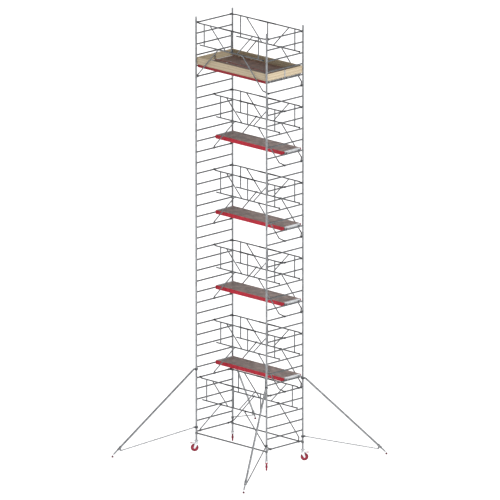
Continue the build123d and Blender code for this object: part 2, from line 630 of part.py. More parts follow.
def upright_clamp(height):
    """A collar that turns on the upright, with two lugs pointing outwards."""
    collar = Cylinder(CLAMP_R, CLAMP_HEIGHT)
    lugs = block((0, CLAMP_LUG_REACH), (-CLAMP_LUG_HALF, CLAMP_LUG_HALF), (-18, 18))
    slot_half = CLAMP_LUG_HALF - 3.8
    lugs = lugs - block((CLAMP_R + 4, CLAMP_LUG_REACH + 6), (-slot_half, slot_half), (-30, 30))
    bolt = block((-CLAMP_R - 12, -10), (-12, 12), (-14, 14))
    clamp = collar + lugs + bolt - Cylinder(UPRIGHT_R + CLAMP_GAP, CLAMP_HEIGHT * 2)
    return Pos(0, 0, height) * clamp


def stabiliser_tube():
    """Clamps, main tube, lower arm and the bracket that ties the arm to the tube."""
    tube_top, tube_end = flat(STAB_TUBE_TOP), flat(STAB_TUBE_END)
    main = tube(tube_top, tube_end, STAB_TUBE_R, TUBE_WALL)
    head = rod(flat(along_stabiliser(-2790)), flat(along_stabiliser(-2744.5)), 16.8)
    pieces = [main, upright_clamp(UPPER_CLAMP_Z), upright_clamp(LOWER_CLAMP_Z)]
    keep_out = Pos(0, 0, UPPER_CLAMP_Z) * Cylinder(CLAMP_R + 4.5, 400)
    pieces.append(head - keep_out)
    arm = tube(flat(ARM_START), flat(ARM_END), ARM_R, TUBE_WALL)
    pieces.append(arm - Pos(0, 0, LOWER_CLAMP_Z) * Cylinder(CLAMP_R + 4.5, 400))
    # bracket at the lower end: a collar on the main tube with two plates down to the arm
    collar = rod(flat(along_stabiliser(-95)), flat(along_stabiliser(-35)), STAB_TUBE_R + 8)
    hanger = rod(flat(along_stabiliser(-52)), flat(ARM_END), 22)
    hanger = hanger & block((0, 3000), (-21, 21), (0, 3000))
    pocket = rod(flat(ARM_START), (ARM_END[0] + 3, 0, ARM_END[1] - 1), ARM_R + WELD_GAP)
    bracket = collar + hanger - rod(tube_top, tube_end, STAB_TUBE_R + WELD_GAP) - pocket
    pieces += list(bracket.solids().sort_by(SortBy.VOLUME)[-1:])
    # guide bush in the open end of the main tube
    inside, outside = flat(along_stabiliser(-30)), flat(along_stabiliser(22))
    collar = rod(flat(along_stabiliser(WELD_GAP)), outside, STAB_TUBE_R + 5)
    bush = collar + rod(inside, outside, STAB_TUBE_R - TUBE_WALL - WELD_GAP)
    bore = rod(flat(along_stabiliser(-40)), flat(along_stabiliser(40)), STAB_LEG_R + RUNNING_GAP)
    pieces.append(bush - bore)
    return pieces


def stabiliser_leg():
    """The telescopic leg, its ball stud and its rubber foot."""
    ball = (STAB_FOOT_R, 0, STAB_BALL_Z)
    leg_end = along_stabiliser(170)
    leg = tube(flat(along_stabiliser(-STAB_LEG_INSIDE)), flat(leg_end), STAB_LEG_R, TUBE_WALL)
    plug = rod(flat(along_stabiliser(130)), flat(leg_end), STAB_LEG_R - TUBE_WALL - WELD_GAP)
    stem = rod(flat(along_stabiliser(165)), ball, 8)
    stud = plug + stem + Pos(*ball) * Sphere(STAB_BALL_R)
    cup = Pos(STAB_FOOT_R, 0, 0) * Cone(FOOT_R, FOOT_R - 6, 40, align=BASE_ALIGN)
    cup = fillet(cup.edges().filter_by(GeomType.CIRCLE).group_by(Axis.Z)[-1], 5)
    cup = cup - Pos(*ball) * Sphere(STAB_BALL_R + RUNNING_GAP * 4)
    return [leg, stud, cup]


def stabiliser_angle(name):
    """The direction of an outrigger on the floor, outwards from its corner."""
    side_x, side_y = CORNERS[name]
    return degrees(atan2(side_y * sin(radians(STABILISER_ANGLE)), side_x * cos(radians(STABILISER_ANGLE))))


# --- the whole tower ----------------------------------------------------------------------------
def build():
    """Writes every sub-part of the tower."""
    os.makedirs("parts", exist_ok=True)

    rung = coped_rung()
    for tier in range(len(TIER_RUNGS)):
        save(f"ladder_frames_tier_{tier + 1}", ladder_frames(tier, rung))
    save("frame_spigots", frame_spigots())
    save("frame_clips", frame_clips())
    save("horizontal_braces", horizontal_braces())

    tubes = guardrail_tubes()
    fittings = {turned: guardrail_fittings(turned) for turned in (False, True)}
    placed_fittings = []
    for level, units in guardrail_places().items():
        placed_tubes = []
        for unit in units:
            placed_tubes += place_unit(tubes, *unit)
            placed_fittings += place_unit(fittings[unit[-1]], *unit)
        save(f"guardrails_{level}", placed_tubes)
    save("guardrail_fittings", placed_fittings)

    decks, claws = [], []
    for name, (side, number) in platform_places().items():
        place = Pos(0, side * PLATFORM_MIDDLE_Y, rung_z(number))
        save(f"platform_frame_{name}", [place * piece for piece in platform_frame(side)])
        save(f"hatch_{name}", [place * piece for piece in hatch(side)])
        decks += [place * piece for piece in platform_deck(side)]
        claws += [place * piece for piece in platform_claws()]
    save("platform_decks", decks)
    save("platform_claws", claws)

    save("toe_boards", toe_boards())
    save("toe_board_clips", toe_board_clips())

    corner_parts = {
        "castor_spindle": (castor_spindle(), castor_angle),
        "wing_nut": (wing_nut(), castor_angle),
        "castor_fork": (castor_fork(), castor_angle),
        "castor_wheel": (castor_wheel(), castor_angle),
        "brake_pedal": (brake_pedal(), castor_angle),
        "stabiliser_tube": (stabiliser_tube(), stabiliser_angle),
        "stabiliser_leg": (stabiliser_leg(), stabiliser_angle),
    }
    for part, (pieces, angle_of) in corner_parts.items():
        for name in CORNERS:
            save(f"{part}_{name}", at_corner(pieces, name, angle_of(name)))


build()
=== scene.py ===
"""Mobile tower scaffold: finishes, welds, castors, threads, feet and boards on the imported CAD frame.

Metres, in the frame's own axes: X along the platforms, Y across the tower, Z up from the floor.
"""

import bmesh
import bpy
import numpy as np
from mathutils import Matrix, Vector


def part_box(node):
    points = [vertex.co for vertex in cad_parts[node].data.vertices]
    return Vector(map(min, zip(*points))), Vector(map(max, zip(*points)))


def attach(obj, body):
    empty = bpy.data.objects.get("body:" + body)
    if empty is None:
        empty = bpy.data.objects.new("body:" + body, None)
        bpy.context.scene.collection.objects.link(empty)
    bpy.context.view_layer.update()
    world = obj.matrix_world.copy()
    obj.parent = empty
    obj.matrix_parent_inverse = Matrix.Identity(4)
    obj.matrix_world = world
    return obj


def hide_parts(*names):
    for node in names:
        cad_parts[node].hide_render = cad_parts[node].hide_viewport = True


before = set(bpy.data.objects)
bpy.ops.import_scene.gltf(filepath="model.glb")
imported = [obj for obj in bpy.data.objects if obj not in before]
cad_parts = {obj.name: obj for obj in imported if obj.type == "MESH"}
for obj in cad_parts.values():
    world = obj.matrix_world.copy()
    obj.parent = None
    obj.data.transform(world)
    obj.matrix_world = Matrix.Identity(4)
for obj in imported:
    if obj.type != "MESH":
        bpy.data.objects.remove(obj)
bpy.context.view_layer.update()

# --- places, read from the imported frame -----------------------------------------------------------
TUBE_R = 0.025
RUNG_R = 0.019
RAIL_R = 0.0175
POST_R = 0.0165
BRACE_R = 0.0145
PITCH = 0.28
low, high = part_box("ladder_frames_tier_1")
HALF_BAY = high.x - TUBE_R
HALF_WIDTH = high.y - TUBE_R
FIRST_RUNG = 0.52
TIER_RUNGS = (7, 7, 7, 7, 7, 4)
LEVEL_RUNGS = (7, 14, 21, 28)
TOP_RUNG = 35
# each platform's side of the tower's middle, rear or front, and the rung that holds it
PLATFORMS = {str(level): (1, rung) for level, rung in enumerate(LEVEL_RUNGS, start=1)}
PLATFORMS.update(top_rear=(1, TOP_RUNG), top_front=(-1, TOP_RUNG))
PLATFORM_MIDDLE = 0.31
CHANNEL_INNER, CHANNEL_FACE = 0.2709, 0.303  # from a platform's middle to its side channels' two faces
DECK_TOP = 0.065
CLAMP_REACH = 0.079  # the outrigger clamps lie within this of an upright's axis
low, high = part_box("toe_boards")
BOARD_THICK = 0.022
long_y, end_x = high.y - BOARD_THICK / 2, high.x - BOARD_THICK / 2
board_middle, board_width, board_top = (low.z + high.z) / 2, high.z - low.z, high.z
LONG_HALF, END_HALF = 1.222, 0.6175  # half the length of the long boards and of the end boards
CORNERS = {"front_left": (-1, -1), "front_right": (1, -1), "rear_left": (-1, 1), "rear_right": (1, 1)}
STABILISER_ANGLE = np.radians(60.2)
UP = np.array([0.0, 0.0, 1.0])


def rung_height(number):
    """Height of a rung's axis, counted from 1 at the foot of the tower."""
    return FIRST_RUNG + PITCH * (np.asarray(number) - 1)


WORKING_DECK_FROM = rung_height(TOP_RUNG - 1)  # what is higher on a platform belongs to the working deck


def corner(name):
    """A corner upright's place on the floor, and the castor's and the outrigger's directions from it."""
    side_x, side_y = CORNERS[name]
    place = np.array([side_x * HALF_BAY, side_y * HALF_WIDTH, 0.0])
    trail = np.array([side_x, side_y, 0.0]) / np.sqrt(2)
    outwards = np.array([side_x * np.cos(STABILISER_ANGLE), side_y * np.sin(STABILISER_ANGLE), 0.0])
    return place, trail, outwards


# --- materials --------------------------------------------------------------------------------------
def linear(colour):
    """An sRGB hex colour as linear RGBA."""
    part = np.array([int(colour[start:start + 2], 16) for start in (1, 3, 5)]) / 255
    curved = np.where(part <= 0.04045, part / 12.92, ((part + 0.055) / 1.055) ** 2.4)
    return (*curved.tolist(), 1.0)


def add(tree, kind, inputs, **settings):
    """Adds a node: settings are its own properties, inputs maps a socket to a value or to an output."""
    made = tree.nodes.new("ShaderNode" + kind)
    for name, value in settings.items():
        setattr(made, name, value)
    for socket, value in inputs.items():
        if isinstance(value, bpy.types.NodeSocket):
            tree.links.new(value, made.inputs[socket])
        else:
            made.inputs[socket].default_value = value
    return made.outputs


def blank(name, **fixed):
    """A new material, its tree, its shader and Object coordinates; fixed are the sockets alike all over."""
    made = bpy.data.materials.new(name)
    made.use_nodes = True
    tree = made.node_tree
    shader = tree.nodes["Principled BSDF"]
    for socket, value in fixed.items():
        shader.inputs[socket.replace("_", " ")].default_value = value
    place = add(tree, "TexCoord", {})["Object"]
    return made, tree, shader, place


def finish(tree, shader, colour, roughness, height, depth):
    """Links colour, roughness and a bump of so many metres to the shader."""
    tree.links.new(colour, shader.inputs["Base Color"])
    tree.links.new(roughness, shader.inputs["Roughness"])
    bump = add(tree, "Bump", {"Height": height, "Distance": depth, "Strength": 1.0})
    tree.links.new(bump["Normal"], shader.inputs["Normal"])


def per_mm(size):
    """A texture scale whose features are about size millimetres across."""
    return 1000.0 / size


RUNG_RIBS = 28.0  # round a rung, so they are 4.3 mm apart


def extruded_aluminium(name, dark, light, run, run_across=None, ribbed=False, clamps=False):
    """Mill-finish aluminium tube: a soft satin metal with fine die lines along the tube and faint
    cloudy handling marks. run is the tube's direction; with run_across the part between the uprights
    runs that way instead. ribbed adds the shallow lengthwise ribs that make a rung safe to stand on.
    clamps gives the castings round the four uprights their dark coat."""
    made, tree, shader, place = blank(name, Metallic=1.0)
    stretch = {"X": (0.012, 1, 1), "Y": (1, 0.012, 1), "Z": (1, 1, 0.012)}
    lines = []
    for direction in [run] + ([run_across] if run_across else []):
        along = add(tree, "Mapping", {"Vector": place, "Scale": stretch[direction]})[0]
        # die lines are really 0.2 mm apart; 2.5 mm shows at arm's length
        lines.append(add(tree, "TexNoise", {"Vector": along, "Scale": per_mm(2.5), "Detail": 3.0})[0])
    line = lines[0]
    if run_across:
        y = add(tree, "SeparateXYZ", {0: place})["Y"]
        off = add(tree, "Math", {0: y}, operation="ABSOLUTE")[0]
        is_upright = add(tree, "Math", {0: off, 1: HALF_WIDTH - TUBE_R}, operation="GREATER_THAN")[0]
        line = add(tree, "Mix", {0: is_upright, 2: lines[1], 3: lines[0]})[0]
    cloud = add(tree, "TexNoise", {"Vector": place, "Scale": per_mm(90), "Detail": 6.0, "Roughness": 0.6})[0]
    shade = add(tree, "MapRange", {0: cloud, 1: 0.35, 2: 0.65})[0]
    shade = add(tree, "Math", {0: line, 1: 0.35, 2: shade}, operation="MULTIPLY_ADD")[0]
    colour = add(tree, "Mix", {0: shade, 6: linear(dark), 7: linear(light)}, data_type="RGBA")[2]
    if clamps:
        folded = add(tree, "VectorMath", {0: place}, operation="ABSOLUTE")[0]
        folded = add(tree, "VectorMath", {0: folded, 1: (HALF_BAY, HALF_WIDTH, 0)}, operation="SUBTRACT")[0]
        folded = add(tree, "VectorMath", {0: folded, 1: (1, 1, 0)}, operation="MULTIPLY")[0]
        apart = add(tree, "VectorMath", {0: folded}, operation="LENGTH")["Value"]
        near = add(tree, "Math", {0: apart, 1: CLAMP_REACH}, operation="LESS_THAN")[0]
        colour = add(tree, "Mix", {0: near, 6: colour, 7: linear("#55575A")}, data_type="RGBA")[2]
    # the rungs between the uprights are multiplied a little darker than the uprights, as painted shade
    if run_across:
        rung = add(tree, "Mix", {0: 1.0, 6: colour, 7: linear("#CFCFCF")}, data_type="RGBA",
                   blend_type="MULTIPLY")[2]
        colour = add(tree, "Mix", {0: is_upright, 6: rung, 7: colour}, data_type="RGBA")[2]
    rough = add(tree, "MapRange", {0: cloud, 1: 0.3, 2: 0.7, 3: 0.34, 4: 0.46})[0]
    height = line
    if ribbed:
        x, _, z = add(tree, "SeparateXYZ", {0: place})[:3]
        up = add(tree, "Math", {0: z, 1: FIRST_RUNG - PITCH / 2}, operation="SUBTRACT")[0]
        up = add(tree, "Math", {0: up, 1: PITCH}, operation="MODULO")[0]
        up = add(tree, "Math", {0: up, 1: PITCH / 2}, operation="SUBTRACT")[0]
        side = add(tree, "Math", {0: x}, operation="ABSOLUTE")[0]
        side = add(tree, "Math", {0: side, 1: HALF_BAY}, operation="SUBTRACT")[0]
        angle = add(tree, "Math", {0: up, 1: side}, operation="ARCTAN2")[0]
        wave = add(tree, "Math", {0: angle, 1: RUNG_RIBS}, operation="MULTIPLY")[0]
        wave = add(tree, "Math", {0: wave}, operation="SINE")[0]
        between = add(tree, "Math", {0: 1.0, 1: is_upright}, operation="SUBTRACT")[0]
        wave = add(tree, "Math", {0: wave, 1: between}, operation="MULTIPLY")[0]
        height = add(tree, "Math", {0: wave, 1: 1.6, 2: line}, operation="MULTIPLY_ADD")[0]
    finish(tree, shader, colour, rough, height, 0.00018)
    return made


def moulded_plastic(name, dark, light, grain, roughness, **fixed):
    """Moulded or cast plastic: an even body colour with a fine spark-eroded grain and faint flow
    clouds. grain is the texture's size in millimetres."""
    made, tree, shader, place = blank(name, IOR=1.5, **fixed)
    cloud = add(tree, "TexNoise", {"Vector": place, "Scale": per_mm(45), "Detail": 4.0})[0]
    shade = add(tree, "MapRange", {0: cloud, 1: 0.35, 2: 0.65})[0]
    colour = add(tree, "Mix", {0: shade, 6: linear(dark), 7: linear(light)}, data_type="RGBA")[2]
    # spark erosion is about 0.1 mm; drawn coarser so that it shows
    grit = add(tree, "TexNoise", {"Vector": place, "Scale": per_mm(grain), "Detail": 2.0})[0]
    rough = add(tree, "MapRange", {0: grit, 1: 0.3, 2: 0.7, 3: roughness - 0.05, 4: roughness + 0.07})[0]
    finish(tree, shader, colour, rough, grit, 0.00012)
    return made


def cast_metal(name, dark, light, metallic, roughness):
    """Cast metal, tumbled or plated: a slightly pebbled skin, with cloudy patches that are duller."""
    made, tree, shader, place = blank(name, Metallic=metallic)
    pebble = add(tree, "TexVoronoi", {"Vector": place, "Scale": per_mm(3.5)}, feature="SMOOTH_F1")[0]
    cloud = add(tree, "TexNoise", {"Vector": place, "Scale": per_mm(30), "Detail": 5.0})[0]
    shade = add(tree, "MapRange", {0: cloud, 1: 0.35, 2: 0.65})[0]
    colour = add(tree, "Mix", {0: shade, 6: linear(dark), 7: linear(light)}, data_type="RGBA")[2]
    rough = add(tree, "MapRange", {0: cloud, 1: 0.3, 2: 0.7, 3: roughness, 4: roughness + 0.14})[0]
    finish(tree, shader, colour, rough, pebble, 0.0003)
    return made


def zinc_plated_steel(name, dark, light):
    """Zinc-plated steel: a pale bluish metal with small crystal patches that differ in brightness."""
    made, tree, shader, place = blank(name, Metallic=1.0)
    # plating crystals of 6 mm, larger than real so that they show
    crystal = add(tree, "TexVoronoi", {"Vector": place, "Scale": per_mm(6)})["Color"]
    crystal = add(tree, "SeparateColor", {0: crystal})[0]
    cloud = add(tree, "TexNoise", {"Vector": place, "Scale": per_mm(25), "Detail": 5.0})[0]
    shade = add(tree, "Math", {0: crystal, 1: 0.35, 2: cloud}, operation="MULTIPLY_ADD")[0]
    shade = add(tree, "MapRange", {0: shade, 1: 0.4, 2: 0.95})[0]
    colour = add(tree, "Mix", {0: shade, 6: linear(dark), 7: linear(light)}, data_type="RGBA")[2]
    rough = add(tree, "MapRange", {0: crystal, 3: 0.26, 4: 0.42})[0]
    finish(tree, shader, colour, rough, cloud, 0.00008)
    return made


def powder_coated_frame(name):
    """Platform frame: the side channels have a crimson powder coat with the coat's slight orange peel
    and a few pale rubs; the end beams and cross members between them are anodised aluminium. The
    channels of the working deck are painted a little darker, as painted shade."""
    made, tree, shader, place = blank(name, IOR=1.5, Specular_IOR_Level=0.3)
    y = add(tree, "SeparateXYZ", {0: place})["Y"]
    off = add(tree, "Math", {0: y}, operation="ABSOLUTE")[0]
    off = add(tree, "Math", {0: off, 1: PLATFORM_MIDDLE}, operation="SUBTRACT")[0]
    off = add(tree, "Math", {0: off}, operation="ABSOLUTE")[0]
    coated = add(tree, "Math", {0: off, 1: CHANNEL_INNER}, operation="GREATER_THAN")[0]
    cloud = add(tree, "TexNoise", {"Vector": place, "Scale": per_mm(120), "Detail": 5.0})[0]
    shade = add(tree, "MapRange", {0: cloud, 1: 0.35, 2: 0.65})[0]
    red = add(tree, "Mix", {0: shade, 6: linear("#A80424"), 7: linear("#C4082C")}, data_type="RGBA")[2]
    bare = add(tree, "Mix", {0: shade, 6: linear("#CDCFD1"), 7: linear("#DEE0E2")}, data_type="RGBA")[2]
    streak = add(tree, "Mapping", {"Vector": place, "Scale": (0.15, 1.0, 1.0)})[0]
    rub = add(tree, "TexNoise", {"Vector": streak, "Scale": per_mm(14), "Detail": 6.0, "Roughness": 0.7})[0]
    rub = add(tree, "MapRange", {0: rub, 1: 0.66, 2: 0.74, 4: 0.55})[0]
    red = add(tree, "Mix", {0: rub, 6: red, 7: linear("#D86A7C")}, data_type="RGBA")[2]
    z = add(tree, "SeparateXYZ", {0: place})["Z"]
    at_top = add(tree, "Math", {0: z, 1: WORKING_DECK_FROM}, operation="GREATER_THAN")[0]
    # the working deck's channels are darkened as painted shade
    shaded_red = add(tree, "Mix", {0: 1.0, 6: red, 7: linear("#D0C4C4")}, data_type="RGBA",
               blend_type="MULTIPLY")[2]
    red = add(tree, "Mix", {0: at_top, 6: red, 7: shaded_red}, data_type="RGBA")[2]
    colour = add(tree, "Mix", {0: coated, 6: bare, 7: red}, data_type="RGBA")[2]
    metal = add(tree, "MapRange", {0: coated, 3: 0.4, 4: 0.0})[0]
    tree.links.new(metal, shader.inputs["Metallic"])
    # orange peel of 2 mm
    peel = add(tree, "TexNoise", {"Vector": place, "Scale": per_mm(2), "Detail": 1.0})[0]
    rough = add(tree, "MapRange", {0: cloud, 1: 0.3, 2: 0.7, 3: 0.34, 4: 0.46})[0]
    finish(tree, shader, colour, rough, peel, 0.00006)
    return made


def film_faced_plywood(name, dark, light):
    """Film-faced birch plywood: brown phenolic film pressed with a wire mesh, rubbed paler where feet
    pass and a darker brown on the top deck as painted shade, and plies of 1.4 mm in the cut edges."""
    made, tree, shader, place = blank(name, IOR=1.5)
    normal = add(tree, "SeparateXYZ", {0: add(tree, "TexCoord", {})["Normal"]})["Z"]
    upright = add(tree, "Math", {0: normal}, operation="ABSOLUTE")[0]
    face = add(tree, "Math", {0: upright, 1: 0.5}, operation="GREATER_THAN")[0]
    # the mesh's wires are 9 mm apart
    wires = add(tree, "TexVoronoi", {"Vector": place, "Scale": per_mm(9), "Randomness": 0.0},
                feature="DISTANCE_TO_EDGE", voronoi_dimensions="2D")[0]
    wire = add(tree, "MapRange", {0: wires, 1: 0.02, 2: 0.16})[0]
    cloud = add(tree, "TexNoise", {"Vector": place, "Scale": per_mm(160), "Detail": 8.0,
                                   "Roughness": 0.62})[0]
    worn = add(tree, "MapRange", {0: cloud, 1: 0.42, 2: 0.66})[0]
    film = add(tree, "Mix", {0: worn, 6: linear(dark), 7: linear(light)}, data_type="RGBA")[2]
    # the top deck's film is a darker brown, as painted shade
    shaded_top_film = add(tree, "Mix", {0: worn, 6: linear("#4C3830"), 7: linear("#70584E")}, data_type="RGBA")[2]
    z = add(tree, "SeparateXYZ", {0: place})["Z"]
    at_top = add(tree, "Math", {0: z, 1: WORKING_DECK_FROM}, operation="GREATER_THAN")[0]
    film = add(tree, "Mix", {0: at_top, 6: film, 7: shaded_top_film}, data_type="RGBA")[2]
    pressed = add(tree, "MapRange", {0: wire, 3: 0.25, 4: 0.0})[0]
    film = add(tree, "Mix", {0: pressed, 6: film, 7: linear("#3A2C27")}, data_type="RGBA")[2]
    # one wave is a dark ply and a light one, 2.8 mm together
    ply = add(tree, "Math", {0: z, 1: 2 * np.pi * per_mm(2.8)}, operation="MULTIPLY")[0]
    ply = add(tree, "Math", {0: ply}, operation="SINE")[0]
    ply = add(tree, "MapRange", {0: ply, 1: -0.4, 2: 0.4})[0]
    edge = add(tree, "Mix", {0: ply, 6: linear("#6E4A32"), 7: linear("#B08A62")}, data_type="RGBA")[2]
    colour = add(tree, "Mix", {0: face, 6: edge, 7: film}, data_type="RGBA")[2]
    rough = add(tree, "MapRange", {0: worn, 3: 0.42, 4: 0.62})[0]
    finish(tree, shader, colour, rough, wire, 0.0005)
    return made


def planed_timber(name, run):
    """Planed and oiled spruce: pale honey-grey board with long growth rings along it, finer late-wood
    lines between them and a knot here and there, its inner faces darkened as painted shade. run is
    the board's direction."""
    made, tree, shader, place = blank(name, IOR=1.5)
    grain_scale = {"X": (0.035, 1, 1), "Y": (1, 0.035, 1)}[run]
    along = add(tree, "Mapping", {"Vector": place, "Scale": grain_scale})[0]
    sway = add(tree, "TexNoise", {"Vector": along, "Scale": per_mm(60), "Detail": 3.0})["Color"]
    bent = add(tree, "VectorMath", {0: sway, 1: (0.05, 0.05, 0.05)}, operation="MULTIPLY")[0]
    bent = add(tree, "VectorMath", {0: along, 1: bent}, operation="ADD")[0]
    # the texture's bands are 2 pi / 20 of its scale apart, which makes these rings 57 mm, as on a
    # flat-sawn board, before the distortion bends them
    rings = add(tree, "TexWave", {"Vector": bent, "Scale": per_mm(9) / 20, "Distortion": 7.0, "Detail": 4.0,
                                  "Detail Scale": 1.5}, bands_direction="Z")[1]
    fine = add(tree, "TexNoise", {"Vector": along, "Scale": per_mm(3), "Detail": 5.0})[0]
    ring = add(tree, "MapRange", {0: rings, 1: 0.25, 2: 0.9})[0]
    colour = add(tree, "Mix", {0: ring, 6: linear("#B8A78A"), 7: linear("#CBBB9E")}, data_type="RGBA")[2]
    fibre = add(tree, "MapRange", {0: fine, 1: 0.35, 2: 0.65, 4: 0.35})[0]
    colour = add(tree, "Mix", {0: fibre, 6: colour, 7: linear("#A08E72")}, data_type="RGBA")[2]
    spread = add(tree, "Mapping", {"Vector": place, "Scale": (0.6, 0.6, 1.0)})[0]
    knot = add(tree, "TexVoronoi", {"Vector": spread, "Scale": per_mm(170)})[0]
    knot = add(tree, "MapRange", {0: knot, 1: 0.07, 2: 0.03, 4: 0.8})[0]
    colour = add(tree, "Mix", {0: knot, 6: colour, 7: linear("#7A5636")}, data_type="RGBA")[2]
    folded = add(tree, "VectorMath", {0: place}, operation="ABSOLUTE")[0]
    x, y, z = add(tree, "SeparateXYZ", {0: folded})[:3]
    within_x = add(tree, "Math", {0: x, 1: end_x}, operation="LESS_THAN")[0]
    within_y = add(tree, "Math", {0: y, 1: long_y}, operation="LESS_THAN")[0]
    below_top = add(tree, "Math", {0: z, 1: board_top - 0.002}, operation="LESS_THAN")[0]
    inside = add(tree, "Math", {0: within_x, 1: within_y}, operation="MULTIPLY")[0]
    inside = add(tree, "Math", {0: inside, 1: below_top}, operation="MULTIPLY")[0]
    # the boards' inner faces are darkened as painted shade
    shaded_inner_face = add(tree, "Mix", {0: 0.8, 6: colour, 7: linear("#D0D0CC")}, data_type="RGBA",
               blend_type="MULTIPLY")[2]
    colour = add(tree, "Mix", {0: inside, 6: colour, 7: shaded_inner_face}, data_type="RGBA")[2]
    rough = add(tree, "MapRange", {0: fine, 3: 0.5, 4: 0.68})[0]
    finish(tree, shader, colour, rough, fine, 0.0002)
    return made


def moulded_rubber(name):
    """Moulded dark red rubber with a dull bloom and pale scuffs."""
    made, tree, shader, place = blank(name, IOR=1.5)
    scuff = add(tree, "TexNoise", {"Vector": place, "Scale": per_mm(12), "Detail": 8.0, "Roughness": 0.7})[0]
    shade = add(tree, "MapRange", {0: scuff, 1: 0.35, 2: 0.7})[0]
    colour = add(tree, "Mix", {0: shade, 6: linear("#4A1420"), 7: linear("#6E2634")}, data_type="RGBA")[2]
    rough = add(tree, "MapRange", {0: scuff, 3: 0.65, 4: 0.9})[0]
    finish(tree, shader, colour, rough, scuff, 0.0003)
    return made


def plain_floor():
    """A matt studio floor that glows a little, so that it comes out white and without shadows."""
    made, _, shader, _ = blank("matt white studio floor")
    shader.inputs["Base Color"].default_value = linear("#BCBCBC")
    shader.inputs["Roughness"].default_value = 0.9
    shader.inputs["Specular IOR Level"].default_value = 0.0
    shader.inputs["Emission Color"].default_value = linear("#FFFFFF")
    shader.inputs["Emission Strength"].default_value = 0.8
    return made


frame_tube = extruded_aluminium("extruded aluminium, mill finish, ribbed rungs", "#77797B", "#9C9EA0", "Z",
                                run_across="Y", ribbed=True)
# the guardrail and brace tube is the frames' aluminium in a darker grey, as painted shade
rail_tube = extruded_aluminium("extruded aluminium, guardrail tube", "#5E6062", "#808284", "X")
outrigger_tube = extruded_aluminium("extruded aluminium, outrigger tube", "#747678", "#989A9C", "Z",
                                    clamps=True)
spigot_tube = extruded_aluminium("drawn aluminium, spigots", "#8E9092", "#B4B6B8", "Z")
dark_nylon = moulded_plastic("glass-filled nylon, moulded, dark grey", "#2A2B2D", "#3C3D40", 0.9, 0.5)
claw_casting = cast_metal("die-cast aluminium, tumbled", "#8E9093", "#A9ABAE", 0.7, 0.42)
bright_casting = cast_metal("cast steel, zinc plated", "#A6A8AB", "#C6C8CB", 1.0, 0.34)
bright_steel = zinc_plated_steel("pressed steel, bright zinc plated", "#DADDE0", "#F2F4F5")
plated_steel = zinc_plated_steel("pressed steel, zinc plated", "#9DA0A4", "#C9CCCF")
spring_steel = zinc_plated_steel("spring steel, zinc plated", "#8B8E92", "#B9BCBF")
red_frame = powder_coated_frame("platform frame, crimson powder coat and anodised aluminium")
deck_film = film_faced_plywood("birch plywood, film faced, mesh pressed", "#76655F", "#A8968F")
spruce_x = planed_timber("spruce, planed and oiled, grain along the tower", "X")
spruce_y = planed_timber("spruce, planed and oiled, grain across the tower", "Y")
wheel_red = moulded_plastic("polyurethane tyre, cast, crimson", "#6A0420", "#86082E", 1.2, 0.42,
                            Specular_IOR_Level=0.35)
hub_red = moulded_plastic("polyamide wheel centre, moulded, crimson", "#8A0A2A", "#A01238", 1.0, 0.45)
pedal_red = moulded_plastic("polyamide pedal, moulded, red", "#9A1A2E", "#B4243A", 1.0, 0.42)
foot_rubber = moulded_rubber("moulded rubber, dark red")

FINISHES = {
    "ladder_frames": frame_tube, "frame_spigots": spigot_tube, "frame_clips": spring_steel,
    "horizontal_braces": rail_tube, "guardrails": rail_tube, "guardrail_fittings": dark_nylon,
    "platform_frame": red_frame, "platform_decks": deck_film, "hatch": deck_film,
    "platform_claws": claw_casting, "toe_boards": spruce_x, "toe_board_clips": spring_steel,
    "castor_spindle": plated_steel, "wing_nut": bright_casting, "castor_fork": bright_steel,
    "castor_wheel": wheel_red, "brake_pedal": pedal_red, "stabiliser_tube": outrigger_tube,
    "stabiliser_leg": outrigger_tube,
}
for node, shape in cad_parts.items():
    start = max((key for key in FINISHES if node.startswith(key)), key=len)
    shape.data.materials.clear()
    shape.data.materials.append(FINISHES[start])


# --- surfaces ---------------------------------------------------------------------------------------
def unit(vectors):
    """Vectors of length one."""
    return vectors / np.linalg.norm(vectors, axis=-1, keepdims=True)


def square_axes(directions):
    """Each direction as a unit vector, with two more that are square to it and to each other."""
    along = unit(np.asarray(directions, float))
    guess = np.where(np.abs(along[..., 2:]) < 0.9, UP, np.array([1.0, 0.0, 0.0]))
    first = unit(np.cross(guess, along))
    return along, first, np.cross(along, first)


def turns(count):
    """Angles once round, without the repeat of the first."""
    return np.linspace(0, 2 * np.pi, count, endpoint=False)


